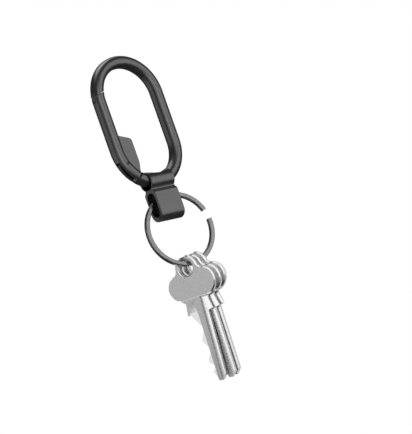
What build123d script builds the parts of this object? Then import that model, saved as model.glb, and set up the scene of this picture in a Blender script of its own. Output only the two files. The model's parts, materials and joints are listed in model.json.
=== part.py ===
from build123d import *
from math import acos, cos, degrees, radians, sin, sqrt
import os

# A key organiser: a spring-gate carabiner, a swivelling sleeve on its lower bar,
# a gapped key ring that turns inside the sleeve, and three keys on the ring.
#
# Everything is drawn around the centre of the carabiner's lower arc, with X across,
# Y from front to back and Z along the carabiner.  The export then lifts it all, so
# that the origin is where a belt loop bears, at the inside of the carabiner's top.

# ---------------------------------------------------------------- carabiner
ARC_RADIUS = 16.44        # centreline of both end arcs
LEG_LENGTH = 22.58        # straight legs between the arcs
ROD_WIDTH = 5.46          # rod across, in the carabiner's plane
ROD_DEPTH = 5.96          # rod from front to back
ROD_CORNER = 2.55         # corner radius of the rod's section
NECK_DEPTH = 0.50         # groove in the lower bar that keeps the sleeve central
NECK_SPARE = 0.30         # groove's end to the sleeve's end
EDGE_BREAK = 0.15         # broken edges of the machined faces

# ---------------------------------------------------------------- gate
NOSE_HEIGHT = 26.10       # where the nose is cut, on the rod's centreline
NOSE_SLOPE = 0.34         # the cut rises towards the inside
NOSE_GAP = 0.30           # air between nose and gate tip
NOSE_KEY_WIDTH = 1.90     # the nose's key, front to back
NOSE_KEY_REACH = 2.90     # how far the key hangs below the cut
NOSE_KEY_DEPTH = 4.60     # how far the key reaches in from the outer face
PIN_RADIUS = 0.75         # hinge pin
PIN_ANGLE = 24.0          # pin's place on the arc, degrees below the leg's foot
PIN_RUNNING_FIT = 0.05    # radial clearance of the pin in the tongue
SLOT_WIDTH = 2.70         # fork slot, front to back
TONGUE_THICKNESS = 1.60   # frame's tongue in the fork slot
TONGUE_BAND = 2.50        # tongue's width inwards from the rod's outer face
BOSS_RADIUS = 2.20        # tongue's eye round the pin
FORK_CLEARANCE = 0.10     # tongue to cheek
SLOT_CLEARANCE = 0.30     # tongue's eye to the slot's floor
TAIL_RADIUS = 7.60        # gate's tail face, about the pin
TAIL_GAP = 1.00           # tail face to the step in the lower bar
SLOT_TOP_ANGLE = 160.0    # slot's upper end, degrees about the pin
TONGUE_TOP_ANGLE = 176.0  # tongue's upper end, degrees about the pin
WEB_ANGLE = -34.0         # where the paddle's solid web starts, degrees about the pin

# ---------------------------------------------------------------- thumb paddle
PADDLE_THICKNESS = 2.00
PADDLE_TOP = 6.60         # where it leaves the arm
PADDLE_SHOULDER = 4.30    # start of its straight free edge
PADDLE_PROJECTION = 6.86  # how far it stands in from the arm's inner face
PADDLE_FOOT_RADIUS = 8.32 # its lowest corner, about the pin
PADDLE_FOOT_ANGLE = -32.5
PADDLE_ROUNDING = 2.00
PADDLE_FOOT_ROUNDING = 0.80

# ---------------------------------------------------------------- gate spring
SPRING_WIRE = 0.28
SPRING_COIL_RADIUS = 1.45
SPRING_TURNS = 2
SPRING_PITCH = 1.08       # coil pitch, in wires
SPRING_SIDE_GAP = 0.05    # coil to the front cheek
SPRING_HEADING = -76.0    # frame leg's direction, degrees about the pin
SPRING_GATE_LEG = 1.75    # leg that pushes the gate's web
SPRING_FRAME_LEG = 4.60   # leg that hooks over the tongue's inner edge
SPRING_HOOK = 0.95

# ---------------------------------------------------------------- sleeve
# heights are above the centreline of the lower bar
SLEEVE_LENGTH = 13.30
SLEEVE_DEPTH = 7.50       # block from front to back
SLEEVE_LOOP_RADIUS = 4.30 # loop round the bar
SLEEVE_LOOP_HEIGHT = 0.44
SLEEVE_NECK_WIDTH = 4.90
SLEEVE_NECK_HEIGHT = -3.61
SLEEVE_CREASE = 0.20      # rounding in the creases of the neck
SLEEVE_SHOULDER_ROUNDING = 0.80
SLEEVE_SHOULDER_HEIGHT = -4.96
SLEEVE_BOTTOM = -17.86
SLEEVE_SADDLE = 0.40      # metal cut from the loop's top, to clear the arc inside it
SLEEVE_ROUNDING = 0.35
BAR_CLEARANCE = 0.25      # bar to the loop's hole, above the bar
BAR_SIDE_CLEARANCE = 0.80 # bar to the loop's hole, at its front and back
BAR_HOLE_DEPTH = 3.36     # hole's floor below the bar's centreline
BAR_HOLE_CORNER = 2.70
BAR_HOLE_OVERLAP = 2.00   # how far the straight part of the hole runs up into the bent part
RING_SLOT_WIDTH = 5.20
RING_SLOT_TOP = -4.76
RING_SLOT_BOTTOM = -15.76

# ---------------------------------------------------------------- ring
RING_RADIUS = 15.65       # wire's centreline
RING_WIRE = 2.10          # square wire
RING_WIRE_CORNER = 0.55
RING_YAW = 11.0           # ring's plane, turned about Z from the carabiner's
RING_OFFSET_X = 2.55      # ring's centre, from the middle of the lower bar
RING_OFFSET_Y = -0.495
RING_DROP = 22.96
RING_GAP_START = 5.0      # gap, degrees round the ring from its right side
RING_GAP_END = 20.5
RING_CLOSED_TURN = 92.0   # turn that takes the gap into the sleeve
RING_END_ROUNDING = 0.25

# ---------------------------------------------------------------- ring guide and detent
GUIDE_LENGTH = 8.40
GUIDE_FIT = 0.02          # guide to the sleeve's slot
GUIDE_RING_CLEARANCE = 0.08
DETENT_ANGLE = 88.0       # ball's place round the ring
BALL_RADIUS = 0.80
BALL_CLEARANCE = 0.05
POCKET_DEPTH = 5.20       # pocket's floor below the inside of the ring's wire
DIMPLE_DEPTH = 0.25
DETENT_SPRING_WIRE = 0.25
DETENT_SPRING_RADIUS = 0.58
DETENT_SPRING_TURNS = 6
DETENT_SPRING_SEAT = 0.72 # where the spring meets the ball, in ball radii from its centre

# ---------------------------------------------------------------- keys
# places on a key are from the centre of its hole, with the blade down
KEY_THICKNESS = 2.20      # bow
KEY_SHANK_THICKNESS = 1.96
KEY_RIM = 0.55            # bevel round the bow
KEY_HOLE_RADIUS = 3.60
KEY_HOLE_BEVEL = 0.45
KEY_TOP_LOBE = 5.65       # radius of the lobe round the hole
KEY_RIGHT_LOBE = 6.40
KEY_LEFT_LOBE = 6.20
KEY_RIGHT_X = 6.35        # centres of the two lower lobes
KEY_LEFT_X = -5.30
KEY_BOW_BASE = -13.75     # lowest line of the bow
KEY_RIGHT_VALLEY = 3.00   # roundings between the lobes
KEY_LEFT_VALLEY = 2.00
KEY_NECK = -15.00         # narrowest place of the shank
KEY_NECK_LEFT = -4.60
KEY_NECK_RIGHT = 6.60
KEY_STOP = -20.10         # stops that meet the lock's face
KEY_STOP_LEFT = -5.15
KEY_STOP_RIGHT = 7.60
KEY_STOP_SLOPE = 0.45     # the stops' lower faces rise outwards by this
KEY_BLADE_LEFT = -3.30
KEY_BLADE_RIGHT = 5.35
KEY_TIP = -50.80
KEY_TIP_TOOTH = 4.70      # the last tooth above the tip
KEY_TIP_BEVEL = 2.30      # the plain edge ends this far above the tip
KEY_CUTS = {-27.20: 3.50, -31.95: 1.80, -36.70: 4.10, -41.30: 2.20, -44.50: 4.10}  # place: depth
KEY_CUT_FLAT = 1.30
KEY_GROOVE_LEFT = 2.90    # warding groove
KEY_GROOVE_RIGHT = 4.00
KEY_GROOVE_TOP = -13.10
KEY_GROOVE_DEPTH = 0.45
KEY_RABBET_LEFT = 4.75    # step down to the blade's plain edge
KEY_RABBET_TOP = -14.30
KEY_RABBET_DEPTH = 0.35
KEY_RECESS_LEFT = -4.05   # milled recess on the bitting side
KEY_RECESS_TOP = -14.75
KEY_RECESS_DEPTH = 0.45
KEY_GAP = 0.25            # air between neighbouring keys
KEY_FACING = -71.43       # keys' common facing, degrees about Z
KEY_NAMES = ("key_front", "key_middle", "key_back")
KEY_SHIFT = {"key_front": -0.35, "key_middle": -0.75, "key_back": -0.85}
KEY_HANG = {"key_front": 1.85, "key_middle": 1.62, "key_back": 1.32}
KEY_LEAN = {"key_front": 4.6, "key_middle": 1.7, "key_back": 2.1}
KEY_FRONT_ANGLE = -100.0  # front key's place round the ring

# ---------------------------------------------------------------- derived
INNER_RADIUS = ARC_RADIUS - ROD_WIDTH / 2
OUTER_RADIUS = ARC_RADIUS + ROD_WIDTH / 2
LEG_X = -ARC_RADIUS
PIN_X = -ARC_RADIUS * cos(radians(PIN_ANGLE))
PIN_Z = -ARC_RADIUS * sin(radians(PIN_ANGLE))
STEP_RADIUS = TAIL_RADIUS + TAIL_GAP
TONGUE_BACK = SLOT_WIDTH / 2 - FORK_CLEARANCE
TONGUE_FRONT = TONGUE_BACK - TONGUE_THICKNESS
NECK_WIDTH = ROD_WIDTH - 2 * NECK_DEPTH
NECK_SIDE = ROD_DEPTH - 2 * NECK_DEPTH
HANG_HEIGHT = LEG_LENGTH + INNER_RADIUS     # the inside of the carabiner's top
RING_CENTRE = (RING_OFFSET_X, RING_OFFSET_Y, -ARC_RADIUS - RING_DROP)
WIRE_INSIDE = RING_RADIUS - RING_WIRE / 2   # inside of the ring's wire
FAR = 4 * ARC_RADIUS                        # longer than anything cut with it
Y_AXIS = Axis((0, 0, 0), (0, 1, 0))


def polar(radius, angle):
    """A point in the XZ plane, angle in degrees from +X towards +Z."""
    return radius * cos(radians(angle)), radius * sin(radians(angle))


def slab(points, front, back):
    """A closed outline in the XZ plane, made solid from Y = front to Y = back."""
    outline = Plane.XZ * make_face(Polyline(*points, close=True))
    return Pos(0, back, 0) * extrude(outline, back - front)


def disc(centre_x, centre_z, radius, front, back):
    """A cylinder along Y."""
    return Pos(centre_x, (front + back) / 2, centre_z) * Rot(90, 0, 0) * Cylinder(radius, back - front)


def pin_sector(start, end, radius):
    """Points of a fan about the hinge pin, from one angle to another."""
    steps = max(2, int(abs(end - start) / 30) + 1)
    fan = [(PIN_X, PIN_Z)]
    for step in range(steps + 1):
        x, z = polar(radius, start + (end - start) * step / steps)
        fan.append((PIN_X + x, PIN_Z + z))
    return fan


# ---------------------------------------------------------------- carabiner
def rod_loop(width, depth, corner):
    """The whole closed stadium of rod, before it is split into frame and gate."""
    section = Pos(LEG_X, 0, 0) * RectangleRounded(width, depth, corner)
    left_leg = extrude(section, LEG_LENGTH)
    right_leg = Pos(2 * ARC_RADIUS, 0, 0) * left_leg
    lower_arc = revolve(section, Axis((0, 0, 0), (0, -1, 0)), 180)
    top_section = Pos(0, 0, LEG_LENGTH) * section
    upper_arc = revolve(top_section, Axis((0, 0, LEG_LENGTH), (0, 1, 0)), 180)
    return left_leg + right_leg + lower_arc + upper_arc


def gate_zone(nose_drop, tail_radius):
    """The stretch of the loop that belongs to the gate."""
    left, right = -FAR, -INNER_RADIUS / 2
    height = NOSE_HEIGHT - nose_drop
    top_left = height + NOSE_SLOPE * (left - LEG_X)
    top_right = height + NOSE_SLOPE * (right - LEG_X)
    upper = slab([(left, top_left), (right, top_right), (right, PIN_Z), (left, PIN_Z)], -FAR, FAR)
    return upper + disc(PIN_X, PIN_Z, tail_radius, -FAR, FAR)


def nose_key(margin):
    """The key on the nose, or with a margin the slot that it drops into."""
    half = NOSE_KEY_WIDTH / 2 + margin
    inner = -OUTER_RADIUS + NOSE_KEY_DEPTH + margin
    low = NOSE_HEIGHT - NOSE_KEY_REACH - 2 * margin
    high = NOSE_HEIGHT + 1.0
    return slab([(-FAR, low), (inner, low), (inner, high), (-FAR, high)], -half, half)


def carabiner_frame():
    loop = rod_loop(ROD_WIDTH, ROD_DEPTH, ROD_CORNER)
    frame = loop - gate_zone(0, STEP_RADIUS)

    key = (loop & nose_key(0)) & gate_zone(0, STEP_RADIUS)
    frame += key

    # the tongue hugs the rod's outer face and ends in an eye round the pin
    band_floor = OUTER_RADIUS - TONGUE_BAND
    band = disc(0, 0, OUTER_RADIUS + 1, TONGUE_FRONT, TONGUE_BACK)
    band -= disc(0, 0, band_floor, -FAR, FAR)
    fan = pin_sector(TONGUE_TOP_ANGLE - 360, WEB_ANGLE - 12, STEP_RADIUS + 1.5)
    band &= slab(fan, -FAR, FAR)
    eye = disc(PIN_X, PIN_Z, BOSS_RADIUS, TONGUE_FRONT, TONGUE_BACK)
    frame += loop & (band + eye)
    frame -= disc(PIN_X, PIN_Z, PIN_RADIUS + PIN_RUNNING_FIT, -FAR, FAR)

    # the lower bar is necked down where the sleeve rides
    neck_length = SLEEVE_LENGTH + 2 * NECK_SPARE
    around = Pos(0, 0, -ARC_RADIUS) * Box(neck_length, 4 * ROD_DEPTH, ARC_RADIUS)
    core = rod_loop(NECK_WIDTH, NECK_SIDE, ROD_CORNER - NECK_DEPTH)
    return (frame - around) + (core & around)


# ---------------------------------------------------------------- gate
def paddle():
    """The thin plate that the thumb presses, in the middle of the gate."""
    edge = -INNER_RADIUS + PADDLE_PROJECTION
    foot_x, foot_z = polar(PADDLE_FOOT_RADIUS, PADDLE_FOOT_ANGLE)
    root = LEG_X
    points = [
        (root, PADDLE_TOP + 1.4),
        (-INNER_RADIUS, PADDLE_TOP),
        (edge, PADDLE_SHOULDER),
        (edge, PIN_Z),
        (PIN_X + foot_x, PIN_Z + foot_z),
        (PIN_X + 1, PIN_Z - 3),
    ]
    half = PADDLE_THICKNESS / 2
    plate = slab(points, -half, half)
    corners = plate.edges().filter_by(Axis.Y)
    shoulder = corners.filter_by(lambda e: abs(e.center().Z - PADDLE_SHOULDER) < 0.01)
    plate = fillet(shoulder, PADDLE_ROUNDING)
    foot = plate.edges().filter_by(Axis.Y).filter_by(lambda e: abs(e.center().Z - PIN_Z - foot_z) < 0.01)
    return fillet(foot, PADDLE_FOOT_ROUNDING)


def fork_slot():
    """The space in the gate for the tongue, its eye and the spring."""
    half = SLOT_WIDTH / 2
    outer = slab(pin_sector(SLOT_TOP_ANGLE - 360, WEB_ANGLE, STEP_RADIUS + 3), -half, half)
    return outer + disc(PIN_X, PIN_Z, BOSS_RADIUS + SLOT_CLEARANCE, -half, half)


def gate():
    loop = rod_loop(ROD_WIDTH, ROD_DEPTH, ROD_CORNER)
    arm = loop & gate_zone(NOSE_GAP, TAIL_RADIUS)
    body = arm + paddle()
    body -= fork_slot()
    body -= nose_key(0.20)
    return body - disc(PIN_X, PIN_Z, PIN_RADIUS, -FAR, FAR)


def gate_hinge_pin():
    """Pressed in the gate's cheeks, running in the tongue's eye."""
    half = ROD_DEPTH / 2 - 0.02
    pin = disc(PIN_X, PIN_Z, PIN_RADIUS, -half, half)
    rims = pin.edges().filter_by(GeomType.CIRCLE)
    return chamfer(rims, EDGE_BREAK)


def gate_spring():
    """Torsion spring round the pin, between the front cheek and the tongue."""
    wire = SPRING_WIRE
    front = -SLOT_WIDTH / 2 + wire / 2 + SPRING_SIDE_GAP
    pitch = wire * SPRING_PITCH
    turns = SPRING_TURNS - (90 + SPRING_HEADING) / 360
    path = Helix(pitch=pitch, height=pitch * turns, radius=SPRING_COIL_RADIUS)
    section = Plane(origin=path @ 0, z_dir=path % 0) * Circle(wire / 2)
    coil = sweep(section, path=path, is_frenet=True)

    # in the coil's own frame Z runs along the pin, and -Y is up along the gate
    start, end, heading = path @ 0, path @ 1, (path % 1)
    heading = Vector(heading.X, heading.Y, 0).normalized()
    gate_leg = Solid.make_cylinder(wire / 2, SPRING_GATE_LEG, Plane(origin=start, z_dir=(0, -1, 0)))
    frame_leg = Solid.make_cylinder(wire / 2, SPRING_FRAME_LEG, Plane(origin=end, z_dir=heading))
    corner = end + heading * SPRING_FRAME_LEG
    hook = Solid.make_cylinder(wire / 2, SPRING_HOOK, Plane(origin=corner, z_dir=(0, 0, 1)))
    knee = Pos(corner.X, corner.Y, corner.Z) * Sphere(wire / 2)
    spring = coil + gate_leg + frame_leg + knee + hook
    return Pos(PIN_X, front, PIN_Z) * Rot(-90, 0, 0) * spring


# ---------------------------------------------------------------- sleeve
def below_bar(height):
    """A height above the lower bar's centreline, in the frame that all is drawn in."""
    return height - ARC_RADIUS


def sleeve_outline():
    """Loop, neck and block in the YZ plane, as a sketch with X standing for Y."""
    half_block = SLEEVE_DEPTH / 2
    half_neck = SLEEVE_NECK_WIDTH / 2
    loop_height = below_bar(SLEEVE_LOOP_HEIGHT)
    neck_height = below_bar(SLEEVE_NECK_HEIGHT)
    shoulder_height = below_bar(SLEEVE_SHOULDER_HEIGHT)
    round_height = below_bar(SLEEVE_BOTTOM) + half_block
    loop = Pos(0, loop_height) * Circle(SLEEVE_LOOP_RADIUS)
    right = [(half_neck, loop_height), (half_neck, neck_height),
             (half_block, shoulder_height), (half_block, round_height)]
    left = [(-y, z) for y, z in reversed(right)]
    block = make_face(Polyline(*right, *left, close=True))
    outline = loop + block + Pos(0, round_height) * Circle(half_block)
    creases = outline.vertices().filter_by(lambda v: neck_height < v.Y < loop_height - 1)
    outline = fillet(creases, SLEEVE_CREASE)
    necks = outline.vertices().filter_by(lambda v: abs(v.Y - neck_height) < 0.01)
    outline = fillet(necks, SLEEVE_CREASE)
    shoulders = outline.vertices().filter_by(lambda v: abs(v.Y - shoulder_height) < 0.01)
    return fillet(shoulders, SLEEVE_SHOULDER_ROUNDING)


def along_x(outline, length):
    """A sketch in the YZ plane, drawn with X for Y and Y for Z, extruded along X."""
    return extrude(Plane.YZ * outline, length / 2, both=True)


def upright_slot(width, top, bottom):
    return Pos(0, (top + bottom) / 2) * Rot(0, 0, 90) * SlotOverall(top - bottom, width)


def ring_slot(margin, length):
    """The sleeve's slot for ring and guide, made smaller all round by a margin."""
    top = below_bar(RING_SLOT_TOP) - margin
    bottom = below_bar(RING_SLOT_BOTTOM) + margin
    return along_x(upright_slot(RING_SLOT_WIDTH - 2 * margin, top, bottom), length)


def ring_sleeve():
    block = along_x(sleeve_outline(), SLEEVE_LENGTH)
    ends = block.faces().filter_by(Axis.X)
    block = fillet(ends.edges(), SLEEVE_ROUNDING)
    block -= disc(0, 0, INNER_RADIUS - SLEEVE_SADDLE, -FAR, FAR)

    # the hole follows the bar above it and runs straight below it
    hole_width = NECK_SIDE + 2 * BAR_SIDE_CLEARANCE
    hole_roof = ARC_RADIUS - NECK_WIDTH / 2 - BAR_CLEARANCE
    hole_floor = ARC_RADIUS + BAR_HOLE_DEPTH
    curved = Pos(-(hole_roof + hole_floor) / 2, 0) * RectangleRounded(
        hole_floor - hole_roof, hole_width, BAR_HOLE_CORNER)
    block -= revolve(curved, Axis((0, 0, 0), (0, -1, 0)), 180)
    end_rise = hole_roof - sqrt(hole_roof ** 2 - (SLEEVE_LENGTH / 2) ** 2)
    straight_height = hole_floor - hole_roof + end_rise - BAR_HOLE_OVERLAP
    straight_height = max(straight_height, 2 * BAR_HOLE_CORNER)
    straight = Pos(0, straight_height / 2 - hole_floor) * RectangleRounded(
        hole_width, straight_height, BAR_HOLE_CORNER - EDGE_BREAK)
    block -= along_x(straight, 2 * SLEEVE_LENGTH)
    return block - ring_slot(0, 2 * SLEEVE_LENGTH)


# ---------------------------------------------------------------- ring
RING_PLACE = Pos(*RING_CENTRE) * Rot(0, 0, -RING_YAW)


def ring_point(angle, radius=RING_RADIUS):
    """A point on the ring, angle in degrees from its right side upwards."""
    x, z = polar(radius, angle)
    return RING_PLACE * Pos(x, 0, z)


def hoop(side, corner):
    section = Pos(RING_RADIUS, 0, 0) * RectangleRounded(side, side, corner)
    return revolve(section, Y_AXIS, 360)


def detent_dimple(angle):
    x, z = polar(WIRE_INSIDE - BALL_RADIUS + DIMPLE_DEPTH, angle)
    return Pos(x, 0, z) * Sphere(BALL_RADIUS)


def key_ring():
    wire = hoop(RING_WIRE, RING_WIRE_CORNER)
    reach = RING_RADIUS + 4
    start = polar(reach, RING_GAP_START)
    end = polar(reach, RING_GAP_END)
    wire -= slab([(0, 0), start, end], -RING_WIRE, RING_WIRE)
    cut_faces = wire.faces().filter_by(GeomType.PLANE).filter_by(
        lambda f: abs(f.normal_at().Y) < 0.01 and f.area > 3)
    wire = fillet(cut_faces.edges(), RING_END_ROUNDING)
    wire -= detent_dimple(DETENT_ANGLE)
    wire -= detent_dimple(DETENT_ANGLE - RING_CLOSED_TURN)
    return RING_PLACE * wire


def detent_axis():
    """The ball's line: local X points from the ring's centre out to the wire."""
    return RING_PLACE * Rot(0, -DETENT_ANGLE, 0)


def ring_guide():
    """The polymer core that steers the wire through the sleeve and holds the detent."""
    core = ring_slot(GUIDE_FIT, GUIDE_LENGTH)
    channel = hoop(RING_WIRE + 2 * GUIDE_RING_CLEARANCE, RING_WIRE_CORNER + GUIDE_RING_CLEARANCE)
    core -= RING_PLACE * channel
    mouth = WIRE_INSIDE + RING_WIRE / 2
    floor = WIRE_INSIDE - POCKET_DEPTH
    pocket = Pos((mouth + floor) / 2, 0, 0) * Rot(0, 90, 0) * Cylinder(
        BALL_RADIUS + BALL_CLEARANCE, mouth - floor)
    return core - detent_axis() * pocket


def ball_distance():
    return WIRE_INSIDE - BALL_RADIUS - BALL_CLEARANCE


def detent_ball():
    return detent_axis() * Pos(ball_distance(), 0, 0) * Sphere(BALL_RADIUS)


def detent_spring():
    """A small compression spring under the ball."""
    floor = WIRE_INSIDE - POCKET_DEPTH
    top = ball_distance() - BALL_RADIUS * DETENT_SPRING_SEAT
    height = top - floor - DETENT_SPRING_WIRE
    path = Helix(pitch=height / DETENT_SPRING_TURNS, height=height, radius=DETENT_SPRING_RADIUS)
    section = Plane(origin=path @ 0, z_dir=path % 0) * Circle(DETENT_SPRING_WIRE / 2)
    coil = sweep(section, path=path, is_frenet=True)
    return detent_axis() * Pos(floor + DETENT_SPRING_WIRE / 2, 0, 0) * Rot(0, 90, 0) * coil


# ---------------------------------------------------------------- keys
def bow_outline():
    """Three lobes, with the two valleys between them rounded."""
    right = (KEY_RIGHT_X, KEY_BOW_BASE + KEY_RIGHT_LOBE)
    left = (KEY_LEFT_X, KEY_BOW_BASE + KEY_LEFT_LOBE)
    bow = Circle(KEY_TOP_LOBE) + Pos(*right) * Circle(KEY_RIGHT_LOBE) + Pos(*left) * Circle(KEY_LEFT_LOBE)
    bow += make_face(Polyline((0, 0), right, (KEY_RIGHT_X, KEY_BOW_BASE), (KEY_LEFT_X, KEY_BOW_BASE),
                              left, close=True))
    valleys = bow.vertices().filter_by(lambda v: v.Y > KEY_BOW_BASE + 1).sort_by(Axis.X)
    bow = fillet(valleys[0], KEY_LEFT_VALLEY)
    valleys = bow.vertices().filter_by(lambda v: v.Y > KEY_BOW_BASE + 1).sort_by(Axis.X)
    return fillet(valleys[-1], KEY_RIGHT_VALLEY)


def bitting():
    """The blade's cut edge, from the stop down to the tip."""
    points = [(KEY_BLADE_LEFT, KEY_STOP - 2 * KEY_STOP_SLOPE)]
    for height, depth in KEY_CUTS.items():
        points.append((KEY_BLADE_LEFT + depth, height + KEY_CUT_FLAT / 2))
        points.append((KEY_BLADE_LEFT + depth, height - KEY_CUT_FLAT / 2))
    return points


def shank_outline():
    """Neck, stops and blade with its bitting, from the bow's left side round to its right."""
    inside_bow = KEY_BOW_BASE + KEY_RIM
    middle = (KEY_BLADE_LEFT + KEY_BLADE_RIGHT) / 2
    quarter = (KEY_BLADE_RIGHT - KEY_BLADE_LEFT) / 4
    tip = [(middle - 0.7 * quarter, KEY_TIP + KEY_TIP_TOOTH), (middle + 0.1 * quarter, KEY_TIP + 0.6),
           (middle + 0.4 * quarter, KEY_TIP), (middle + quarter, KEY_TIP),
           (KEY_BLADE_RIGHT, KEY_TIP + KEY_TIP_BEVEL)]
    left = [(KEY_LEFT_X, inside_bow), (KEY_LEFT_X - 1.2, KEY_BOW_BASE + 0.3), (KEY_NECK_LEFT, KEY_NECK),
            (KEY_STOP_LEFT, KEY_STOP), (KEY_BLADE_LEFT, KEY_STOP - KEY_STOP_SLOPE)]
    right = [(KEY_BLADE_RIGHT, KEY_STOP), (KEY_STOP_RIGHT, KEY_STOP + KEY_STOP_SLOPE),
             (KEY_NECK_RIGHT, KEY_NECK), (KEY_NECK_RIGHT, inside_bow)]
    return left + bitting() + tip + right


def key_recess():
    """The milled recess beside the bitting: its cutter ran in below the bow in a curve."""
    low = KEY_TIP - 1
    span = KEY_BLADE_RIGHT - KEY_BLADE_LEFT
    return [(KEY_RECESS_LEFT, KEY_RECESS_TOP - 0.3), (KEY_BLADE_LEFT + 0.22 * span, KEY_RECESS_TOP),
            (KEY_BLADE_LEFT + 0.32 * span, KEY_RECESS_TOP - 2.0),
            (KEY_BLADE_LEFT + 0.39 * span, KEY_STOP), (KEY_BLADE_LEFT + 0.55 * span, low),
            (2 * KEY_STOP_LEFT, low), (2 * KEY_STOP_LEFT, KEY_STOP - 2 * KEY_STOP_SLOPE),
            (KEY_RECESS_LEFT, KEY_STOP - 2 * KEY_STOP_SLOPE)]


def box_outline(left, right, top, bottom):
    return [(left, top), (right, top), (right, bottom), (left, bottom)]


def key_blank():
    """One key in its own frame: hole's centre at the origin, thickness along Y."""
    half = KEY_THICKNESS / 2
    bow = Pos(0, half, 0) * extrude(Plane.XZ * bow_outline(), KEY_THICKNESS)
    rims = bow.faces().filter_by(Axis.Y).edges()
    bow = chamfer(rims, KEY_RIM)
    half_shank = KEY_SHANK_THICKNESS / 2
    key = bow + slab(shank_outline(), -half_shank, half_shank)
    key -= disc(0, 0, KEY_HOLE_RADIUS, -FAR, FAR)

    # conical bevels at both mouths of the hole
    cone = Cone(KEY_HOLE_RADIUS, KEY_HOLE_RADIUS + 2 * KEY_HOLE_BEVEL, 2 * KEY_HOLE_BEVEL)
    key -= Pos(0, -half, 0) * Rot(90, 0, 0) * cone
    key -= Pos(0, half, 0) * Rot(-90, 0, 0) * cone

    # both faces are milled alike: recess, warding groove, and a step along the plain edge
    low = KEY_TIP - 1
    groove = box_outline(KEY_GROOVE_LEFT, KEY_GROOVE_RIGHT, KEY_GROOVE_TOP, low)
    rabbet = box_outline(KEY_RABBET_LEFT, 2 * KEY_STOP_RIGHT, KEY_RABBET_TOP, low)
    millings = ((key_recess(), KEY_RECESS_DEPTH), (groove, KEY_GROOVE_DEPTH), (rabbet, KEY_RABBET_DEPTH))
    for outline, depth in millings:
        floor = half_shank - depth
        key -= slab(outline, -half - 1, -floor)
        key -= slab(outline, floor, half + 1)
    return key


def key_normal():
    angle = radians(KEY_FACING)
    return Vector(-sin(angle), cos(angle), 0)


def key_wire_angle(name):
    """Where round the ring the wire passes through a key's middle plane."""
    pitch = KEY_NAMES.index(name) * (KEY_THICKNESS + KEY_GAP)
    across = Vector(cos(radians(RING_YAW)), -sin(radians(RING_YAW)), 0)
    share = across.dot(key_normal())
    return -degrees(acos(cos(radians(KEY_FRONT_ANGLE)) + pitch / (RING_RADIUS * share)))


def key_place(name):
    wire = ring_point(key_wire_angle(name)).position
    turned = Pos(wire.X, wire.Y, wire.Z) * Rot(0, 0, KEY_FACING) * Rot(0, KEY_LEAN[name], 0)
    return turned * Pos(KEY_SHIFT[name], 0, -KEY_HANG[name])


def build():
    nodes = {
        "carabiner_frame": carabiner_frame(),
        "gate": gate(),
        "gate_hinge_pin": gate_hinge_pin(),
        "gate_spring": gate_spring(),
        "ring_sleeve": ring_sleeve(),
        "ring_guide": ring_guide(),
        "detent_ball": detent_ball(),
        "detent_spring": detent_spring(),
        "key_ring": key_ring(),
    }
    blank = key_blank()
    for name in KEY_NAMES:
        nodes[name] = key_place(name) * blank
    return nodes


os.makedirs("parts", exist_ok=True)
for name, solid in build().items():
    export_step(Pos(0, 0, -HANG_HEIGHT) * solid, f"parts/{name}.step")
    print(name, len(solid.solids()), round(solid.volume, 2))

for name in KEY_NAMES:
    wire = ring_point(key_wire_angle(name)).position
    print("joint", name, round(wire.X, 4), round(wire.Y, 4), round(wire.Z - HANG_HEIGHT, 4))
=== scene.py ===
# %% [markdown]
# # A key organiser
# A spring-gate carabiner carries a swivelling sleeve. A gapped ring of square wire turns inside
# the sleeve, and three keys hang on the ring. The construction comes ready made from the CAD
# model. This lesson gives every piece its finish, models the pieces that need more shape than
# the CAD gives them, and sets up the studio. Everything is in metres, in the CAD model's frame.

import json
from math import acos, atan2, cos, degrees, pi, radians, sin, sqrt, tan

import bmesh
import bpy
from mathutils import Matrix, Vector


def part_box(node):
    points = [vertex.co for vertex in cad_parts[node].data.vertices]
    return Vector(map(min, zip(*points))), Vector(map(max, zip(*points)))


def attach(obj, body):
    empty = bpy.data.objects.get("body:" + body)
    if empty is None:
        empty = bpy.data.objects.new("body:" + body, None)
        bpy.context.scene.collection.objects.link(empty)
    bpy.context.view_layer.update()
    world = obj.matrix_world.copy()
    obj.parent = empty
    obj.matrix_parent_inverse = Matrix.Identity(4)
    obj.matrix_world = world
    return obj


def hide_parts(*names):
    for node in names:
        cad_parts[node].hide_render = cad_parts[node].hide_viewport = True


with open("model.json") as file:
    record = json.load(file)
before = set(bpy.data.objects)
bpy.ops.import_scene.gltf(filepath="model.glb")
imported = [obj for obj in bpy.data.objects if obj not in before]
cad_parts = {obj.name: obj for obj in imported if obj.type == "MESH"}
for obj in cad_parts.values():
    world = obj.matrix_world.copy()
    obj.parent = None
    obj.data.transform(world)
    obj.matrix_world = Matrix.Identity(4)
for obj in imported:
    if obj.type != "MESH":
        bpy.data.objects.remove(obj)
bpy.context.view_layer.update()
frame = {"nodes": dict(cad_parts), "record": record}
MM = 0.001
joints = {joint["name"]: joint for joint in frame["record"]["behaviour"]["joints"]}
print("CAD nodes:", sorted(frame["nodes"]))

# %% [markdown]
# ## The camera
# A product photographer puts a small object far away from a long lens, so that near and far
# pieces keep almost the same size. The camera looks a little upwards from the gate's side, and it
# is rolled, so that the whole clip leans in the picture. The camera is built from three
# directions: right, up and forward.

# %% Camera
AZIMUTH = radians(-41.9)
ELEVATION = radians(-8.0)
ROLL = radians(-19.47)
DISTANCE = 1.5
PICTURE_HEIGHT = 0.1887       # what the picture shows at the object, from its top to its bottom
SENSOR = 36.0
AIM = Vector((0.0145, -0.0059, -0.0739))

forward = Vector((-sin(AZIMUTH) * cos(ELEVATION), cos(AZIMUTH) * cos(ELEVATION), -sin(ELEVATION)))
level_right = forward.cross(Vector((0, 0, 1))).normalized()
level_up = level_right.cross(forward)
right = level_right * cos(ROLL) + level_up * sin(ROLL)
up = level_up * cos(ROLL) - level_right * sin(ROLL)

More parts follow.
